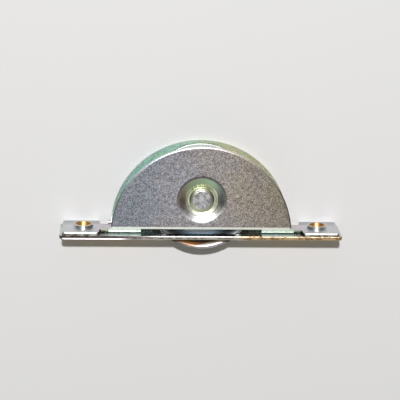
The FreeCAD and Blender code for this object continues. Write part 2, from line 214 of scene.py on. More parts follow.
flash_data = bpy.data.lights.new("flash", "AREA")
flash_data.shape = "DISK"
flash_data.size = FLASH_SIZE
flash_data.energy = FLASH_POWER
flash_data.color = FLASH_COLOUR
flash = bpy.data.objects.new("flash", flash_data)
flash_way = camera_place + camera_up * FLASH_RISE - camera_target
flash_ahead = -flash_way.normalized()
flash.matrix_world = facing(
    camera_target + flash_way * FLASH_AWAY, camera_right, camera_right.cross(flash_ahead),
    flash_ahead)
scene.collection.objects.link(flash)


def colours_by(tree, source, stops):
    """A colour for each value between 0 and 1, from stops of a place and a colour."""
    ramp = add(tree, "ValToRGB")
    elements = ramp.color_ramp.elements
    for number, (place, colour) in enumerate(stops):
        stop = elements[number] if number < len(elements) else elements.new(place)
        stop.position = place
        stop.color = (*colour, 1.0)
    feed(tree, ramp.inputs["Fac"], source)
    return ramp.outputs["Color"]


# The room by its height in this frame: 0 is straight down and 1 straight up.
ROOM_HEIGHTS = (
    (0.000, (0.24, 0.30, 0.23)),
    (0.030, (0.55, 0.62, 0.50)),
    (0.080, (1.05, 1.12, 1.00)),
    (0.260, (1.15, 1.16, 1.12)),
    (0.300, (0.60, 0.60, 0.59)),
    (0.335, (0.15, 0.148, 0.143)),
    (0.425, (0.10, 0.098, 0.095)),
    (0.600, (0.12, 0.115, 0.11)),
    (0.710, (0.66, 0.65, 0.63)),
    (0.810, (0.86, 0.86, 0.84)),
    (0.900, (0.92, 0.92, 0.90)),
    (1.000, (0.85, 0.85, 0.82)),
)
ROOM_LEFT = (1.0, 1.01, 1.04, 1.0)
ROOM_RIGHT = (0.66, 0.60, 0.54, 1.0)
ROOM_RIGHT_STEP = (-0.15, 0.35)
ROOM_ENDS = (0.30, 0.30, 0.28, 1.0)
ROOM_END_STEP = (0.25, 0.85)
ROOM_BEHIND = (0.62, 0.62, 0.61, 1.0)
ROOM_BEHIND_STEP = (0.1, 0.6)
ROOM_ON_DULL = 0.5
BACKGROUND = (0.86, 0.86, 0.855, 1.0)

world = bpy.data.worlds.new("room")
scene.world = world
world.use_nodes = True
tree = world.node_tree
tree.nodes.clear()
output = add(tree, "OutputWorld")
room = add(tree, "Background")
seen = add(tree, "Background")
feed(tree, seen.inputs["Color"], BACKGROUND)
across, along, up = parts_of(tree, coordinates(tree, "Generated"))
height = worked_out(tree, "MULTIPLY_ADD", up, 0.5, 0.5)
side = tone(tree, "MIX", mask(tree, across, ROOM_RIGHT_STEP), ROOM_LEFT, ROOM_RIGHT)
side = tone(tree, "MIX", mask(tree, absolute(tree, across), ROOM_END_STEP), side, ROOM_ENDS)
lit = tone(tree, "MULTIPLY", 1.0, colours_by(tree, height, ROOM_HEIGHTS), side)
# Beyond the table it is evenly bright: that light reaches only the back of the pulley.
behind = mask(tree, along, ROOM_BEHIND_STEP)
feed(tree, room.inputs["Color"], tone(tree, "LIGHTEN", behind, lit, ROOM_BEHIND))
# Dull surfaces take less of it, so that the lamp's shadow stays deep.
path = add(tree, "LightPath")
feed(tree, room.inputs["Strength"], worked_out(
    tree, "MULTIPLY_ADD", path.outputs["Is Diffuse Ray"], ROOM_ON_DULL - 1.0, 1.0))
feed(tree, output.inputs["Surface"], either_of(
    tree, path.outputs["Is Camera Ray"], room.outputs["Background"],
    seen.outputs["Background"]))


# Case: one blank of 1.5 mm sheet steel, punched, folded to a channel with two half-round
# cheeks and dished round the axle. It is zinc plated and clear passivated, so its skin is a
# fine grey grain with a faint film of colours. The punched edges are rolled over and torn.

MILLIMETRES = 1000.0
CASE_SHEET = 1.5
CASE_ROUNDING = 0.00018
FOLD_END = 39.5
CHEEK_RADIUS = 38.4
CHEEK_CENTRE = -0.3
CHEEK_FOOT = 2.4
ARC_END = CHEEK_RADIUS - 0.3
AXLE_HEIGHT = 15.0
DISH_EDGE = 10.2
LEDGE_EDGE = 7.2
TAB_SIDE = 9.1


def between(tree, factor, first, second):
    """A value that goes from first to second with the factor."""
    node = add(tree, "MapRange", clamp=False)
    feed(tree, node.inputs["Value"], factor)
    feed(tree, node.inputs["To Min"], first)
    feed(tree, node.inputs["To Max"], second)
    return node.outputs["Result"]


def vector_of(tree, across, along, up):
    node = add(tree, "CombineXYZ")
    for socket, source in zip(node.inputs, (across, along, up)):
        feed(tree, socket, source)
    return node.outputs["Vector"]


def grey_of(tree, brightness):
    return vector_of(tree, brightness, brightness, brightness)


def worked_out_vector(tree, operation, *vectors):
    """The node for one sum of vectors, such as ADD."""
    node = add(tree, "VectorMath", operation=operation)
    for socket, vector in zip(node.inputs, vectors):
        feed(tree, socket, vector)
    return node.outputs


def stretched(tree, vector, across, along, up):
    return worked_out_vector(tree, "MULTIPLY", vector, (across, along, up))["Vector"]


def noise(tree, vector, scale=1.0, detail=2.0, roughness=0.5):
    node = add(tree, "TexNoise")
    feed(tree, node.inputs["Vector"], vector)
    feed(tree, node.inputs["Scale"], scale)
    feed(tree, node.inputs["Detail"], detail)
    feed(tree, node.inputs["Roughness"], roughness)
    return node.outputs["Fac"]


def either_way(tree, source, spread):
    """A value between 0 and 1 made to swing evenly about 0 by half of the spread."""
    return worked_out(tree, "MULTIPLY_ADD", source, spread, -spread / 2)


def length_of(tree, first, second):
    squares = worked_out(tree, "MULTIPLY", second, second)
    return worked_out(tree, "SQRT", worked_out(tree, "MULTIPLY_ADD", first, first, squares))


def in_millimetres(tree):
    """The point of the surface in the pulley's own frame."""
    return stretched(tree, coordinates(tree, "Object"), *[MILLIMETRES] * 3)


def faces(tree, axis):
    """How far the surface faces along an axis of the pulley's frame, either way."""
    return absolute(tree, parts_of(tree, coordinates(tree, "Normal"))[axis])


def faces_out(tree, along):
    """Above 0 on faces turned away from the wheel's middle, below 0 on those turned to it."""
    return worked_out_vector(
        tree, "DOT_PRODUCT", coordinates(tree, "Normal"),
        vector_of(tree, 0.0, along, 0.0))["Value"]


def new_group(name, inputs, outputs):
    """A shader node group with named sockets, and its two ends."""
    group = bpy.data.node_groups.new(name, "ShaderNodeTree")
    for way, sockets in (("INPUT", inputs), ("OUTPUT", outputs)):
        for label, kind in sockets.items():
            group.interface.new_socket(label, in_out=way, socket_type="NodeSocket" + kind)
    start = group.nodes.new("NodeGroupInput")
    end = group.nodes.new("NodeGroupOutput")
    return group, start.outputs, end.inputs


def use_group(tree, group, **sources):
    """A group placed in a tree, each input fed by its name with spaces as underscores."""
    node = add(tree, "Group", node_tree=group)
    for label, source in sources.items():
        feed(tree, node.inputs[label.replace("_", " ")], source)
    return node.outputs


# Passivated zinc: a grey grain under a film whose colour drifts with its thickness. The scales
# are per millimetre, and the relief is in millimetres.
FILM_COLOURS = (
    (0.00, (1.00, 0.91, 0.74)),
    (0.18, (1.00, 0.90, 0.94)),
    (0.33, (0.86, 0.90, 1.00)),
    (0.43, (0.82, 0.89, 1.00)),
    (0.52, (0.52, 0.95, 0.85)),
    (0.62, (0.62, 1.00, 0.72)),
    (0.76, (0.92, 1.00, 0.60)),
    (0.88, (1.00, 0.90, 0.62)),
    (1.00, (1.00, 0.78, 0.74)),
)
DRIFT_SCALE, DRIFT_SPREAD = 0.075, 0.5
PATCH_SCALE, PATCH_SPREAD = 0.42, 0.2
FINE_GRAIN_SCALE, COARSE_GRAIN_SCALE = 2.8, 0.7
FINE_GRAIN_STEP = (0.32, 0.68)
COARSE_GRAIN_SHARE = 0.3
GRAIN_MIDDLE = 0.65
ZINC_DULL, ZINC_DULL_SPREAD = 0.30, 0.16
POLISHED_LESS_DULL = -0.2
GRAIN_RELIEF = 0.012

zinc_film, given, made = new_group(
    "zinc_film",
    {"Base": "Color", "Film": "Float", "Film Strength": "Float", "Grain": "Float",
     "Polish": "Float"},
    {"Color": "Color", "Roughness": "Float", "Height": "Float"},
)
tree = zinc_film
point = in_millimetres(tree)
drift = either_way(tree, noise(tree, point, DRIFT_SCALE, detail=1.0), DRIFT_SPREAD)
patches = either_way(tree, noise(tree, point, PATCH_SCALE), PATCH_SPREAD)
thickness = worked_out(tree, "ADD", given["Film"], worked_out(tree, "ADD", drift, patches))
film = colours_by(tree, thickness, FILM_COLOURS)
tinted = tone(tree, "MULTIPLY", given["Film Strength"], given["Base"], film)
fine = mask(tree, noise(tree, point, FINE_GRAIN_SCALE, roughness=0.6), FINE_GRAIN_STEP)
coarse = noise(tree, point, COARSE_GRAIN_SCALE, detail=1.0)
speckle = worked_out(tree, "MULTIPLY_ADD", coarse, COARSE_GRAIN_SHARE, fine)
grained = worked_out(tree, "SUBTRACT", speckle, GRAIN_MIDDLE)
grained = worked_out(tree, "MULTIPLY_ADD", grained, given["Grain"], 1.0)
feed(tree, made["Color"], tone(tree, "MULTIPLY", 1.0, tinted, grey_of(tree, grained)))
dull = worked_out(tree, "MULTIPLY_ADD", coarse, ZINC_DULL_SPREAD, ZINC_DULL)
feed(tree, made["Roughness"],
     worked_out(tree, "MULTIPLY_ADD", given["Polish"], POLISHED_LESS_DULL, dull))
feed(tree, made["Height"], times(tree, speckle, GRAIN_RELIEF))

# Punched edge: smooth where the punch went in, torn in teeth from there on. The smooth parts
# round over to both faces. Through is 0 where the punch went in and 1 where it came out, and
# Tilt is how far the surface leans up there.
TEETH_SCALE, TEETH_SPREAD = 1.5, 0.8
TEETH_AT_FAR_END = -0.5
TEAR_SOFTNESS = 0.08
CLUMP_SCALE = 1.0
CLUMP_STEP = (0.40, 0.56)
TORN_BETWEEN_CLUMPS = 0.25
PIT_SCALE = 3.4
PIT_STEP = (0.62, 0.45)
SHALLOWEST_PIT = 0.45
SMOOTH_DULL, TORN_DULL = 0.38, 0.55
TORN_RELIEF = 0.05
TILT_AT_START, TILT_THROUGH = 0.34, -0.95

punched_edge, given, made = new_group(
    "punched_edge",
    {"Through": "Float", "Lengthwise": "Vector", "Torn From": "Float", "Torn To": "Float",
     "Clean": "Color", "Torn": "Color"},
    {"Color": "Color", "Roughness": "Float", "Height": "Float", "Tilt": "Float"},
)
tree = punched_edge
teeth = noise(tree, given["Lengthwise"], TEETH_SCALE, detail=3.0, roughness=0.7)
teeth = either_way(tree, teeth, TEETH_SPREAD)
tear = worked_out(tree, "ADD", given["Torn From"], teeth)
tear_end = worked_out(tree, "MULTIPLY_ADD", teeth, TEETH_AT_FAR_END, given["Torn To"])
clumps = mask(tree, noise(tree, given["Lengthwise"], CLUMP_SCALE, detail=1.0), CLUMP_STEP)
torn = times(
    tree,
    mask(tree, given["Through"], (tear, worked_out(tree, "ADD", tear, TEAR_SOFTNESS))),
    mask(tree, given["Through"],
         (tear_end, worked_out(tree, "SUBTRACT", tear_end, TEAR_SOFTNESS))),
    between(tree, clumps, TORN_BETWEEN_CLUMPS, 1.0))
pits = noise(tree, given["Lengthwise"], PIT_SCALE, roughness=0.6)
pitted = between(tree, mask(tree, pits, PIT_STEP), SHALLOWEST_PIT, 1.0)
broken = tone(tree, "MIX", pitted, given["Clean"], given["Torn"])
feed(tree, made["Color"], tone(tree, "MIX", torn, given["Clean"], broken))
feed(tree, made["Roughness"], between(tree, torn, SMOOTH_DULL, TORN_DULL))
feed(tree, made["Height"], times(tree, pits, torn, TORN_RELIEF))
feed(tree, made["Tilt"],
     worked_out(tree, "MULTIPLY_ADD", given["Through"], TILT_THROUGH, TILT_AT_START))


def new_metal(name):
    """A metal's material, with its tree and its shader."""
    material = bpy.data.materials.new(name)
    material.use_nodes = True
    tree = material.node_tree
    shader = tree.nodes["Principled BSDF"]
    feed(tree, shader.inputs["Metallic"], 1.0)
    return material, tree, shader


def raise_surface(tree, shader, height, lean=None):
    """Bump from a height in millimetres, on a surface that leans by a vector if one is given."""
    bump = add(tree, "Bump")
    feed(tree, bump.inputs["Strength"], 1.0)
    feed(tree, bump.inputs["Distance"], 1.0 / MILLIMETRES)
    feed(tree, bump.inputs["Height"], height)
    if lean is not None:
        surface = add(tree, "NewGeometry")
        leaning = worked_out_vector(tree, "ADD", surface.outputs["Normal"], lean)["Vector"]
        feed(tree, bump.inputs["Normal"],
             worked_out_vector(tree, "NORMALIZE", leaning)["Vector"])
    feed(tree, shader.inputs["Normal"], bump.outputs["Normal"])


def soften_edges(name, width):
    """The small rounding of a worked edge, in metres."""
    rounding = nodes[name].modifiers.new("edge_rounding", "BEVEL")
    rounding.width = width
    rounding.segments = 2
    rounding.limit_method = "ANGLE"
    rounding.angle_limit = math.radians(40)


def dress(name, material):
    nodes[name].data.materials.clear()
    nodes[name].data.materials.append(material)


# Where things are on the case, in millimetres
OUTSIDE_STEP = (0.5, 2.5)
CHEEK_STEP = (CHEEK_FOOT - 0.3, CHEEK_FOOT + 0.8)
CHEEK_RIM_STEP = (CHEEK_RADIUS - 1.1, CHEEK_RADIUS - 0.8)
CHEEK_ROLLED_STEP = (CHEEK_RADIUS - 0.95, CHEEK_RADIUS)
CHEEK_RIGHT_STEP = (-25.0, 30.0)
CHEEK_LIGHT_POOL_STEP = (10.0, 32.0)
DISH_STEP = (DISH_EDGE + 0.3, DISH_EDGE - 0.9)
DISH_SMOOTH_STEP = (DISH_EDGE + 0.3, DISH_EDGE - 1.2)
DISH_FILM_STEP = (-3.0, 7.0)
DISH_TOP_STEP = (1.0, 7.0)
DISH_RIM_OUTER_STEP, DISH_RIM_INNER_STEP = (10.9, 10.3), (9.2, 9.9)
DISH_RIM_UP_STEP = (-6.0, 2.0)
DISH_SIDES_UP_STEP = (-6.0, 0.0)
DISH_LEFT_STEP, DISH_RIGHT_STEP = (-5.0, -9.0), (4.0, 9.0)
LEDGE_STEP = (LEDGE_EDGE + 0.05, LEDGE_EDGE - 0.25)
LEDGE_TOP_STEP = (2.5, 6.0)
FOOT_STEP = (CHEEK_FOOT + 1.05, CHEEK_FOOT + 0.85)
FOOT_ROLLED_STEP = (CHEEK_FOOT + 1.1, CHEEK_FOOT + 0.8)
FOLD_LEANS_STEP = (CHEEK_FOOT - 0.4, CHEEK_FOOT - 1.4)
FOLD_FOOT_STEP = (CHEEK_FOOT - 1.5, CHEEK_FOOT - 1.15)
FOLD_ENDS_STEP = (FOLD_END, FOLD_END - 0.3)
BEYOND_FOLDS_STEP = (FOLD_END - 0.3, FOLD_END - 0.1)
NEAR_FOLD_STEP = (-5.6, -5.2)
NECK_STEP = (-0.5, 0.0)
TAB_STEP = (44.0, 46.5)
BASE_UP_STEP = (0.5, 0.9)
BLANK_SIDE_STEP = (CASE_SHEET + 0.06, CASE_SHEET - 0.02)
NOTCH_SIDE_STEP = (TAB_SIDE, TAB_SIDE - 0.3)
NOTCH_END_STEP = (50.0, 46.0)
FAR_FOLD_STEP = (3.8, 4.6)
FAR_FOLD_END_STEP = (40.4, 39.9)
UNDER_FOLD_UP_STEP = (0.95, 0.75)
UNDER_FOLD_END_STEP = (FOLD_END + 0.2, FOLD_END)
# How far a surface faces up, or along the plate, where it is a punched edge
EDGE_FACES_UP_STEP = (0.75, 0.55)
EDGE_FACES_ALONG_STEP = (0.80, 0.90)

# Colours of the case
OUTSIDE_LEFT = (0.475, 0.485, 0.52, 1.0)
OUTSIDE_RIGHT = (0.52, 0.495, 0.45, 1.0)
OUTSIDE_BY_DISH, OUTSIDE_BY_RIM = 1.08, 0.86
INSIDE = (0.70, 0.70, 0.70, 1.0)
DISH_TOP_SHADE = (0.40, 0.44, 0.38, 1.0)
DISH_RIM_SHADE = (0.20, 0.17, 0.18, 1.0)
DISH_LEFT_SHADE = (0.40, 0.31, 0.26, 1.0)
DISH_RIGHT_SHADE = (0.22, 0.22, 0.21, 1.0)
LEDGE = (0.86, 0.87, 0.82, 1.0)
LEDGE_TOP_SHADOW = (0.48, 0.50, 0.38, 1.0)
FOOT_HIGHLIGHT = (0.80, 0.81, 0.77, 1.0)
NECK_AND_TAB = (0.60, 0.60, 0.60, 1.0)
EDGE_CLEAN = (0.72, 0.72, 0.68, 1.0)
EDGE_TORN = (0.10, 0.085, 0.07, 1.0)
NOTCH_SHADE = (0.13, 0.14, 0.11, 1.0)
UNDER_FOLD_SHADE = (0.03, 0.07, 0.05, 1.0)
FAR_FOLD_SHADE = (0.62, 0.62, 0.62, 1.0)

# The film by place: its thickness, and how strongly it tints
FILM_SLOPE = 0.0050
OUTSIDE_FILM, OUTSIDE_TINT = 0.20, 0.65
INSIDE_FILM, INSIDE_TINT = 0.68, 0.75
DISH_FILM, DISH_LOW_TINT, DISH_TOP_TINT = 0.68, 0.05, 0.5
LEDGE_FILM, LEDGE_TINT = 0.78, 0.30
BASE_FILM, BASE_SIDE_TINT, BASE_TOP_TINT = 0.60, 0.35, 0.03
NECK_FILM, NECK_TINT = 0.20, 0.8
TAB_FILM, TAB_TINT = 0.38, 0.3
FOOT_TINT = 0.16

# Strength of the grain by place
OUTSIDE_GRAIN, DISH_GRAIN, RIM_GRAIN = 1.15, 0.3, 0.3
INSIDE_GRAIN, BASE_GRAIN, FOOT_GRAIN = 0.12, 0.2, 0.15

# How far the rolled edges lean
RIM_LEAN = 0.55
FOOT_LEAN, FOLD_LEAN = -0.17, 0.38
EDGE_LEAN, EDGE_LEAN_STEP = 0.30, (0.45, 0.05)
FAR_FOLD_LEAN = 0.27
# The teeth of a punched edge run longer along the plate than through it.
ALONG_THE_EDGE = (0.6, 1.0, 0.9)
CASE_TORN_FROM, CASE_TORN_TO = 0.38, 1.3

case_zinc, tree, shader = new_metal("case_zinc")
point = in_millimetres(tree)
across, along, up = parts_of(tree, point)
from_middle = absolute(tree, across)
above = worked_out(tree, "SUBTRACT", up, AXLE_HEIGHT)
from_axle = length_of(tree, across, above)
over_centre = worked_out(tree, "SUBTRACT", up, CHEEK_CENTRE)
radius = length_of(tree, across, over_centre)
outside = mask(tree, faces_out(tree, along), OUTSIDE_STEP)
on_cheek = mask(tree, up, CHEEK_STEP)
dish = mask(tree, from_axle, DISH_STEP)
ledge = mask(tree, from_axle, LEDGE_STEP)
foot = times(tree, mask(tree, up, FOOT_STEP), outside)
neck_start = between(tree, mask(tree, along, NEAR_FOLD_STEP), FOLD_END, ARC_END)
neck = mask(tree, worked_out(tree, "SUBTRACT", from_middle, neck_start), NECK_STEP)
tab = mask(tree, from_middle, TAB_STEP)
# The film drifts along the cheeks. It is greener inside them and in the dishes, and pink on
# the necks.
outer_film = worked_out(tree, "MULTIPLY_ADD", across, -FILM_SLOPE, OUTSIDE_FILM)
outer_film = between(tree, dish, outer_film, DISH_FILM)
outer_film = between(tree, ledge, outer_film, LEDGE_FILM)
inner_film = worked_out(tree, "MULTIPLY_ADD", across, FILM_SLOPE, INSIDE_FILM)
cheek_film = between(tree, outside, inner_film, outer_film)
low_film = between(tree, neck, BASE_FILM, NECK_FILM)
low_film = between(tree, tab, low_film, TAB_FILM)
dish_tint = between(tree, mask(tree, above, DISH_FILM_STEP), DISH_LOW_TINT, DISH_TOP_TINT)
outer_tint = between(tree, dish, OUTSIDE_TINT, dish_tint)
outer_tint = between(tree, ledge, outer_tint, LEDGE_TINT)
cheek_tint = between(tree, outside, INSIDE_TINT, outer_tint)
low_tint = between(tree, mask(tree, up, BASE_UP_STEP), BASE_SIDE_TINT, BASE_TOP_TINT)
low_tint = between(tree, neck, low_tint, NECK_TINT)
low_tint = between(tree, tab, low_tint, TAB_TINT)
film_tint = between(tree, foot, between(tree, on_cheek, low_tint, cheek_tint), FOOT_TINT)
# The grain is strong on the cheeks' outer faces, and fades in the dishes and near the rim.
grain = between(tree, mask(tree, from_axle, DISH_SMOOTH_STEP), OUTSIDE_GRAIN, DISH_GRAIN)
grain = between(tree, mask(tree, radius, CHEEK_RIM_STEP), grain, RIM_GRAIN)
grain = between(tree, on_cheek, BASE_GRAIN, between(tree, outside, INSIDE_GRAIN, grain))
grain = between(tree, foot, grain, FOOT_GRAIN)
# The outer faces are bluer at the left and warmer at the right. They are painted brighter round
# the dishes and darker towards the rim, a painted pool of light.
outer = tone(tree, "MIX", mask(tree, across, CHEEK_RIGHT_STEP), OUTSIDE_LEFT, OUTSIDE_RIGHT)
light_pool = between(tree, mask(tree, from_axle, CHEEK_LIGHT_POOL_STEP), OUTSIDE_BY_DISH, OUTSIDE_BY_RIM)
outer = tone(tree, "MULTIPLY", 1.0, outer, grey_of(tree, light_pool))
# Painted shade in the dishes: darker on the upper slope, in a ring at the dish's edge that fades
# low down, and on both sides, browner on the left.
dish_top_shade = times(tree, dish, mask(tree, above, DISH_TOP_STEP))
dish_rim_shade = times(
    tree, mask(tree, from_axle, DISH_RIM_OUTER_STEP),
    mask(tree, from_axle, DISH_RIM_INNER_STEP), mask(tree, above, DISH_RIM_UP_STEP))
dish_sides = times(tree, dish, mask(tree, above, DISH_SIDES_UP_STEP))
dish_left_shade = times(tree, dish_sides, mask(tree, across, DISH_LEFT_STEP))
dish_right_shade = times(tree, dish_sides, mask(tree, across, DISH_RIGHT_STEP))
for place, colour in (
        (dish_top_shade, DISH_TOP_SHADE), (dish_rim_shade, DISH_RIM_SHADE), (dish_left_shade, DISH_LEFT_SHADE),
        (dish_right_shade, DISH_RIGHT_SHADE)):
    outer = tone(tree, "MIX", place, outer, colour)
# The top of the ledge is painted darker, a painted shadow of the dish wall above it.
ledge_colour = tone(tree, "MIX", mask(tree, above, LEDGE_TOP_STEP), LEDGE, LEDGE_TOP_SHADOW)
base = tone(tree, "MIX", outside, INSIDE, outer)
# The foot of each cheek is painted paler, a painted highlight along the fold.
for place, colour in (
        (times(tree, ledge, outside), ledge_colour), (foot, FOOT_HIGHLIGHT),
        (worked_out(tree, "MAXIMUM", neck, tab), NECK_AND_TAB)):
    base = tone(tree, "MIX", place, base, colour)
zinc = use_group(
    tree, zinc_film, Base=base, Film=between(tree, on_cheek, low_film, cheek_film),
    Film_Strength=film_tint, Grain=grain, Polish=foot)
# The punched edges are the sides of the blank beyond the folds and all that faces along.
blank_side = times(
    tree, mask(tree, up, BLANK_SIDE_STEP), mask(tree, from_middle, BEYOND_FOLDS_STEP),
    mask(tree, faces(tree, "Z"), EDGE_FACES_UP_STEP))
punched = worked_out(
    tree, "MAXIMUM", blank_side, mask(tree, faces(tree, "X"), EDGE_FACES_ALONG_STEP))
through = worked_out(tree, "SUBTRACT", 1.0, worked_out(tree, "DIVIDE", up, CASE_SHEET))
edge = use_group(
    tree, punched_edge, Through=through, Lengthwise=stretched(tree, point, *ALONG_THE_EDGE),
    Torn_From=CASE_TORN_FROM, Torn_To=CASE_TORN_TO, Clean=EDGE_CLEAN, Torn=EDGE_TORN)
in_notch = times(
    tree, mask(tree, absolute(tree, along), NOTCH_SIDE_STEP),
    mask(tree, from_middle, NOTCH_END_STEP))
edge_colour = tone(tree, "MULTIPLY", in_notch, edge["Color"], NOTCH_SHADE)
far_fold = times(
    tree, mask(tree, along, FAR_FOLD_STEP), neck, mask(tree, from_middle, FAR_FOLD_END_STEP))
under_fold = times(
    tree, mask(tree, up, UNDER_FOLD_UP_STEP), outside,
    mask(tree, from_middle, UNDER_FOLD_END_STEP))
skin_colour = tone(tree, "MULTIPLY", under_fold, zinc["Color"], UNDER_FOLD_SHADE)
skin_colour = tone(tree, "MULTIPLY", far_fold, skin_colour, FAR_FOLD_SHADE)
feed(tree, shader.inputs["Base Color"], tone(tree, "MIX", punched, skin_colour, edge_colour))
feed(tree, shader.inputs["Roughness"],
     between(tree, punched, zinc["Roughness"], edge["Roughness"]))
# The punch rolled the cheeks over at their round edge and at their foot.
rolled = times(tree, mask(tree, radius, CHEEK_ROLLED_STEP), outside, on_cheek, RIM_LEAN)
rolled = worked_out(tree, "DIVIDE", rolled, radius)
foot_lean = times(tree, mask(tree, up, FOOT_ROLLED_STEP), FOOT_LEAN)
foot_lean = between(tree, mask(tree, up, FOLD_LEANS_STEP), foot_lean, FOLD_LEAN)
foot_lean = times(
    tree, foot_lean, mask(tree, up, FOLD_FOOT_STEP), outside,
    mask(tree, from_middle, FOLD_ENDS_STEP))
edge_lean = worked_out(
    tree, "MULTIPLY_ADD", mask(tree, through, EDGE_LEAN_STEP), EDGE_LEAN, edge["Tilt"])
lean_up = worked_out(tree, "MULTIPLY_ADD", rolled, over_centre, foot_lean)
lean_up = worked_out(tree, "MULTIPLY_ADD", edge_lean, blank_side, lean_up)
lean_up = worked_out(tree, "MULTIPLY_ADD", far_fold, FAR_FOLD_LEAN, lean_up)
lean = vector_of(tree, times(tree, rolled, across), 0.0, lean_up)
raise_surface(tree, shader, between(tree, punched, zinc["Height"], edge["Height"]), lean)
dress("case_body", case_zinc)
soften_edges("case_body", CASE_ROUNDING)


# Faceplate: one strip of steel, brass on its front and zinc on its back, sheared from a coil.
# Two sleeves with rounded lips are drawn from it through the tabs of the case, which they hold.

PLATE_THICKNESS = 1.5
PLATE_ROUNDING = 0.00022
SLEEVE_BORE = 3.45
SLEEVE_OUTSIDE = 4.7
SCREW_PLACE = 50.0

# Where things are on the faceplate, in millimetres
SLEEVE_STEP = (SLEEVE_OUTSIDE + 0.2, SLEEVE_OUTSIDE)
LINING_STEP = (SLEEVE_BORE + 0.15, SLEEVE_BORE)
FRONT_STEP = (0.20 - PLATE_THICKNESS, 0.08 - PLATE_THICKNESS)
STRIP_END_STEP, STRIP_START_STEP = (40.0, 39.0), (25.3, 25.9)
BY_SLOT_STEP = (25.9, 25.3)
BACK_FACE_STEP = (-0.12, -0.04)
SHARP_STEP = (-40.0, -30.0)
BLUNT_LEFT_STEP, BLUNT_RIGHT_STEP = (-16.0, -36.0), (12.0, 22.0)
SLOT_SIDE_STEP = (8.6, 8.0)
LONG_EDGE_STEP = (8.0, 9.0)
# How far through the plate
TORN_SIDE_STEP = (0.76, 0.62)
BLUNT_ROLLED_STEP = (0.64, 0.78)

BRASS = (0.78, 0.50, 0.20, 1.0)
BRASS_LINES = (0.62, 0.55, 0.45, 1.0)
BRASS_LINING_SHADED = (0.56, 0.33, 0.12, 1.0)
BRASS_SMOOTH, BRASS_ROUGH, LINING_ROUGH = 0.18, 0.32, 0.42
BRUSHED_ALONG = (0.12, 3.0, 3.0)
BRUSHED_SHARE = 0.5
BRUSHED_RELIEF = 0.015
BACK_ZINC = (0.60, 0.60, 0.60, 1.0)
ZINC_SHADED_BY_SLOT = (0.30, 0.31, 0.31, 1.0)
ZINC_STRIP_REFLECTION = (0.76, 0.86, 0.83, 1.0)
BACK_FILM, BACK_TINT, SLOT_TINT, SLEEVE_TINT = 0.44, 0.25, 0.8, 0.1
BACK_GRAIN, BACK_POLISH = 0.2, 0.5
STRIP_REFLECTION_METAL = 0.25
LEFT_CLEAN = (0.58, 0.55, 0.53, 1.0)
LEFT_TORN = (0.10, 0.065, 0.045, 1.0)
RIGHT_CLEAN = (0.72, 0.52, 0.34, 1.0)
RIGHT_TORN = (0.22, 0.12, 0.06, 1.0)
BLUNT_SHADE = (0.86, 0.82, 0.92, 1.0)
TORN_SIDE_SHADE = (0.48, 0.42, 0.36, 1.0)
SLOT_SIDE_SHADE = (0.03, 0.035, 0.03, 1.0)
# Where the tear starts and ends through the plate: at the left end, the middle and the right
LEFT_TORN_FROM, MIDDLE_TORN_FROM, RIGHT_TORN_FROM = -0.1, 0.30, 0.05
LEFT_TORN_TO, MIDDLE_TORN_TO, RIGHT_TORN_TO = 0.50, 0.78, 0.90
BLUNT_LEAN = 0.27
LINING_LEAN = 0.35

plate_metal, tree, shader = new_metal("plate_metal")
point = in_millimetres(tree)
across, along, up = parts_of(tree, point)
from_middle = absolute(tree, across)
reach = length_of(tree, worked_out(tree, "SUBTRACT", from_middle, SCREW_PLACE), along)
sleeve = mask(tree, reach, SLEEVE_STEP)
lining = mask(tree, reach, LINING_STEP)
through = worked_out(tree, "DIVIDE", up, -PLATE_THICKNESS)
strip = times(
    tree, mask(tree, from_middle, STRIP_END_STEP), mask(tree, from_middle, STRIP_START_STEP))
# Round the slot the back is painted darker, a painted shade inside the case.
by_slot = mask(tree, from_middle, BY_SLOT_STEP)
back = tone(tree, "MIX", by_slot, BACK_ZINC, ZINC_SHADED_BY_SLOT)
zinc = use_group(
    tree, zinc_film, Base=tone(tree, "MIX", strip, back, ZINC_STRIP_REFLECTION), Film=BACK_FILM,
    Film_Strength=between(
        tree, sleeve, between(tree, by_slot, BACK_TINT, SLOT_TINT), SLEEVE_TINT),
    Grain=BACK_GRAIN, Polish=BACK_POLISH)
# Beside the folds the back is painted pale mint and made less metallic, so that it shows bright:
# a painted reflection of the folds.
strip_reflection = times(tree, strip, mask(tree, up, BACK_FACE_STEP))
feed(tree, shader.inputs["Metallic"], between(tree, strip_reflection, 1.0, STRIP_REFLECTION_METAL))
# The shear was blunter towards the left end, so there the tear starts at the back.
sharp = mask(tree, across, SHARP_STEP)
to_right = mask(tree, across, BLUNT_RIGHT_STEP)
edge = use_group(
    tree, punched_edge, Through=through, Lengthwise=stretched(tree, point, *ALONG_THE_EDGE),
    Torn_From=between(
        tree, to_right, between(tree, sharp, LEFT_TORN_FROM, MIDDLE_TORN_FROM),
        RIGHT_TORN_FROM),
    Torn_To=between(
        tree, to_right, between(tree, sharp, LEFT_TORN_TO, MIDDLE_TORN_TO), RIGHT_TORN_TO),
    Clean=tone(tree, "MIX", to_right, LEFT_CLEAN, RIGHT_CLEAN),
    Torn=tone(tree, "MIX", to_right, LEFT_TORN, RIGHT_TORN))
punched = times(
    tree, mask(tree, faces(tree, "Z"), EDGE_FACES_UP_STEP),
    worked_out(tree, "SUBTRACT", 1.0, sleeve))
blunt = mask(tree, across, BLUNT_LEFT_STEP)
torn_side = times(tree, blunt, mask(tree, through, TORN_SIDE_STEP))
edge_colour = tone(tree, "MULTIPLY", blunt, edge["Color"], BLUNT_SHADE)
edge_colour = tone(tree, "MULTIPLY", torn_side, edge_colour, TORN_SIDE_SHADE)
# The sides of the slot are painted nearly black, a painted shade.
in_slot = mask(tree, absolute(tree, along), SLOT_SIDE_STEP)
edge_colour = tone(tree, "MIX", in_slot, edge_colour, SLOT_SIDE_SHADE)
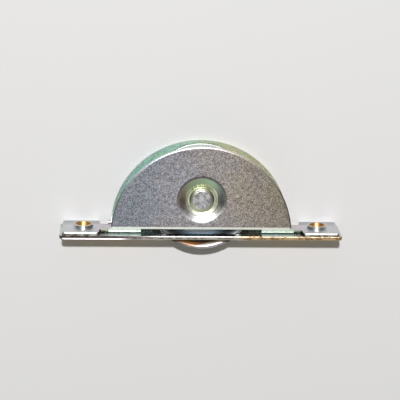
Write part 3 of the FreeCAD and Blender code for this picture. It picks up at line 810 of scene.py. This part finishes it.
# The brass is brushed along the strip, and stretched dull in the sleeves. The lining of the
# sleeves is painted darker, a painted shade in the bores.
brass_part = worked_out(tree, "MAXIMUM", mask(tree, up, FRONT_STEP), lining)
brushed = noise(tree, stretched(tree, point, *BRUSHED_ALONG), detail=3.0, roughness=0.6)
brass = tone(tree, "MULTIPLY", times(tree, brushed, BRUSHED_SHARE), BRASS, BRASS_LINES)
brass = tone(tree, "MIX", lining, brass, BRASS_LINING_SHADED)
brass_dull = between(
    tree, lining, between(tree, brushed, BRASS_SMOOTH, BRASS_ROUGH), LINING_ROUGH)
skin = tone(tree, "MIX", brass_part, zinc["Color"], brass)
skin_dull = between(tree, brass_part, zinc["Roughness"], brass_dull)
skin_height = between(
    tree, brass_part, zinc["Height"], times(tree, brushed, BRUSHED_RELIEF))
feed(tree, shader.inputs["Base Color"], tone(tree, "MIX", punched, skin, edge_colour))
feed(tree, shader.inputs["Roughness"], between(tree, punched, skin_dull, edge["Roughness"]))
long_edge = times(tree, mask(tree, absolute(tree, along), LONG_EDGE_STEP), punched)
blunt_tilt = between(tree, mask(tree, through, BLUNT_ROLLED_STEP), 0.0, BLUNT_LEAN)
lean_up = times(tree, between(tree, blunt, edge["Tilt"], blunt_tilt), long_edge)
lean_up = worked_out(tree, "MULTIPLY_ADD", lining, LINING_LEAN, lean_up)
raise_surface(
    tree, shader, between(tree, punched, skin_height, edge["Height"]),
    vector_of(tree, 0.0, 0.0, lean_up))
dress("faceplate", plate_metal)
soften_edges("faceplate", PLATE_ROUNDING)


# Axle: a plain steel pin through both dishes. Its ends were hammered over while cold, so
# each head has a rough flat and a smooth bright rounding.

HEAD_FLAT_STEP = (4.2, 3.8)
BLOW_SCALE, GRIT_SCALE = 0.55, 2.2
GRIT_SHARE = 0.3
HAMMERED_STEP = (0.48, 0.82)
HAMMERED_DARK, HAMMERED_PALE = (0.28, 0.29, 0.31, 1.0), (0.72, 0.72, 0.74, 1.0)
HEAD_PALE, HEAD_DARK = (0.62, 0.63, 0.48, 1.0), (0.44, 0.46, 0.32, 1.0)
HEAD_DULL, HAMMERED_DULL = 0.30, 0.42
HAMMERED_RELIEF = 0.12

rivet_steel, tree, shader = new_metal("rivet_steel")
point = in_millimetres(tree)
across, _, up = parts_of(tree, point)
radius = length_of(tree, across, worked_out(tree, "SUBTRACT", up, AXLE_HEIGHT))
hammered = mask(tree, radius, HEAD_FLAT_STEP)
blows = noise(tree, point, BLOW_SCALE, detail=3.0, roughness=0.65)
grit = noise(tree, point, GRIT_SCALE, roughness=0.6)
marks = worked_out(tree, "MULTIPLY_ADD", grit, GRIT_SHARE, blows)
steel = tone(tree, "MIX", mask(tree, marks, HAMMERED_STEP), HAMMERED_DARK, HAMMERED_PALE)
rounding = tone(tree, "MIX", grit, HEAD_PALE, HEAD_DARK)
feed(tree, shader.inputs["Base Color"], tone(tree, "MIX", hammered, rounding, steel))
feed(tree, shader.inputs["Roughness"], between(tree, hammered, HEAD_DULL, HAMMERED_DULL))
raise_surface(tree, shader, times(tree, marks, hammered, HAMMERED_RELIEF))
dress("axle_rivet", rivet_steel)


# Wheel: two discs pressed from 1.2 mm steel sheet and set back to back on the bearing. They
# are zinc plated, with faint rings from the press tool round the axle.

WHEEL_ROUNDING = 0.00012
GROOVE_STEP = (-0.3, -1.2)
FLARE_STEP = (17.2, 18.2)
LAND_STEP = (20.9, 21.3)
LEFT_STEP = (3.0, -4.0)
BELOW_PLATE_STEP = (0.0, -1.5)
SHADOW_END_RIGHT, SHADOW_END_LEFT, SHADOW_SOFTNESS = 19.2, 20.7, 0.5
WEB_ZINC = (0.54, 0.60, 0.65, 1.0)
FLARE_ZINC = (0.38, 0.38, 0.41, 1.0)
PLATE_SHADOW_RIGHT, PLATE_SHADOW_LEFT = (0.13, 0.085, 0.06, 1.0), (0.36, 0.21, 0.12, 1.0)
LAND_SHADE = (0.20, 0.175, 0.165, 1.0)
GROOVE_ZINC = (0.82, 0.82, 0.80, 1.0)
GROOVE_DULL = 0.55
WHEEL_FILM, WHEEL_TINT, WHEEL_GRAIN, WHEEL_POLISH = 0.36, 0.35, 0.25, 0.3
RING_SCALE, RING_DETAIL, RING_RELIEF = 2.4, 3.0, 0.010
FLARE_LEANS_STEP, FLARE_LEAN = (20.9, 20.1), -0.34
LAND_LEANS_STEP, LAND_LEAN = (20.9, 21.4), -0.20
LEAN_STARTS_STEP = (17.0, 18.0)

wheel_zinc, tree, shader = new_metal("wheel_zinc")
across, along, up = parts_of(tree, in_millimetres(tree))
above = worked_out(tree, "SUBTRACT", up, AXLE_HEIGHT)
radius = length_of(tree, across, above)
groove = mask(tree, faces_out(tree, along), GROOVE_STEP)
flare = mask(tree, radius, FLARE_STEP)
base = tone(tree, "MIX", flare, WEB_ZINC, FLARE_ZINC)
# The flare below the plate is painted with the plate's shadow: nearly black on its right, and
# browner and wider on its left, a painted reflection of the brass.
to_left = mask(tree, across, LEFT_STEP)
plate_shadow_end = between(tree, to_left, SHADOW_END_RIGHT, SHADOW_END_LEFT)
plate_shadow = times(
    tree, flare, mask(tree, up, BELOW_PLATE_STEP),
    mask(tree, radius, (worked_out(tree, "ADD", plate_shadow_end, SHADOW_SOFTNESS), plate_shadow_end)))
base = tone(tree, "MIX", plate_shadow, base, tone(tree, "MIX", to_left, PLATE_SHADOW_RIGHT, PLATE_SHADOW_LEFT))
# The flat land at the rim is painted dark brown, a painted shade.
base = tone(tree, "MIX", mask(tree, radius, LAND_STEP), base, LAND_SHADE)
zinc = use_group(
    tree, zinc_film, Base=tone(tree, "MIX", groove, base, GROOVE_ZINC), Film=WHEEL_FILM,
    Film_Strength=WHEEL_TINT, Grain=WHEEL_GRAIN, Polish=WHEEL_POLISH)
rings = add(tree, "TexNoise", noise_dimensions="1D")
feed(tree, rings.inputs["W"], radius)
feed(tree, rings.inputs["Scale"], RING_SCALE)
feed(tree, rings.inputs["Detail"], RING_DETAIL)
feed(tree, shader.inputs["Base Color"], zinc["Color"])
feed(tree, shader.inputs["Roughness"], between(tree, groove, zinc["Roughness"], GROOVE_DULL))
# The flare leans in towards the axle before its flat land, which leans in less.
inward = times(tree, mask(tree, radius, FLARE_LEANS_STEP), FLARE_LEAN)
inward = between(tree, mask(tree, radius, LAND_LEANS_STEP), inward, LAND_LEAN)
inward = times(tree, inward, mask(tree, radius, LEAN_STARTS_STEP))
inward = worked_out(tree, "DIVIDE", inward, radius)
lean = add(tree, "VectorTransform", vector_type="VECTOR", convert_from="OBJECT",
           convert_to="WORLD")
feed(tree, lean.inputs["Vector"],
     vector_of(tree, times(tree, inward, across), 0.0, times(tree, inward, above)))
raise_surface(
    tree, shader,
    worked_out(tree, "MULTIPLY_ADD", rings.outputs["Fac"], RING_RELIEF, zinc["Height"]),
    lean.outputs["Vector"])
for name in ("wheel_disc_front", "wheel_disc_back"):
    dress(name, wheel_zinc)
    soften_edges(name, WHEEL_ROUNDING)


# Bearing rings and balls: hardened steel, ground bright, pressed between the hub flanges and
# clamped by the dishes. The grinding leaves fine lines round the axle.

BEARING_ROUNDING = 0.00015
GROUND_LINES = (0.2, 6.0, 0.2)
GROUND_DARK, GROUND_PALE = (0.55, 0.55, 0.56, 1.0), (0.70, 0.70, 0.71, 1.0)
GROUND_SMOOTH, GROUND_ROUGH = 0.12, 0.24
GROUND_RELIEF = 0.008

ground_steel, tree, shader = new_metal("ground_steel")
point = in_millimetres(tree)
lines = noise(tree, stretched(tree, point, *GROUND_LINES), detail=3.0, roughness=0.6)
feed(tree, shader.inputs["Base Color"], tone(tree, "MIX", lines, GROUND_DARK, GROUND_PALE))
feed(tree, shader.inputs["Roughness"], between(tree, lines, GROUND_SMOOTH, GROUND_ROUGH))
raise_surface(tree, shader, times(tree, lines, GROUND_RELIEF))
for name in ("bearing_inner_ring", "bearing_outer_ring"):
    dress(name, ground_steel)
    soften_edges(name, BEARING_ROUNDING)
for name in sorted(name for name in nodes if name.startswith("ball_")):
    dress(name, ground_steel)


# Bearing shields: flat rings of thin bright sheet steel, with the streaks that rolling leaves.
# They are pressed into seats of the outer ring and keep grit off the balls.

ROLLED_STREAKS = (0.3, 1.0, 4.0)
SHIELD_DARK, SHIELD_PALE = (0.42, 0.42, 0.41, 1.0), (0.58, 0.58, 0.56, 1.0)
SHIELD_SMOOTH, SHIELD_ROUGH = 0.28, 0.42
SHIELD_RELIEF = 0.010

shield_sheet, tree, shader = new_metal("shield_sheet")
point = in_millimetres(tree)
streaks = noise(tree, stretched(tree, point, *ROLLED_STREAKS), roughness=0.6)
feed(tree, shader.inputs["Base Color"], tone(tree, "MIX", streaks, SHIELD_DARK, SHIELD_PALE))
feed(tree, shader.inputs["Roughness"], between(tree, streaks, SHIELD_SMOOTH, SHIELD_ROUGH))
raise_surface(tree, shader, times(tree, streaks, SHIELD_RELIEF))
for name in ("bearing_shield_front", "bearing_shield_back"):
    dress(name, shield_sheet)


# Cage: a moulded crown of natural nylon, cream in colour, that spaces the balls. It snaps over
# them from one side and rides on them, clear of both rings.

FLOW_SCALE, SKIN_SCALE = 0.6, 5.0
NYLON_DARK, NYLON_PALE = (0.74, 0.68, 0.52, 1.0), (0.82, 0.77, 0.62, 1.0)
NYLON_SMOOTH, NYLON_ROUGH = 0.34, 0.5
NYLON_RELIEF = 0.010

cage_nylon = bpy.data.materials.new("cage_nylon")
cage_nylon.use_nodes = True
tree = cage_nylon.node_tree
shader = tree.nodes["Principled BSDF"]
point = in_millimetres(tree)
flow = noise(tree, point, FLOW_SCALE)
skin = noise(tree, point, SKIN_SCALE, roughness=0.6)
feed(tree, shader.inputs["Base Color"], tone(tree, "MIX", flow, NYLON_DARK, NYLON_PALE))
feed(tree, shader.inputs["Roughness"], between(tree, skin, NYLON_SMOOTH, NYLON_ROUGH))
raise_surface(tree, shader, times(tree, skin, NYLON_RELIEF))
dress("bearing_cage", cage_nylon)
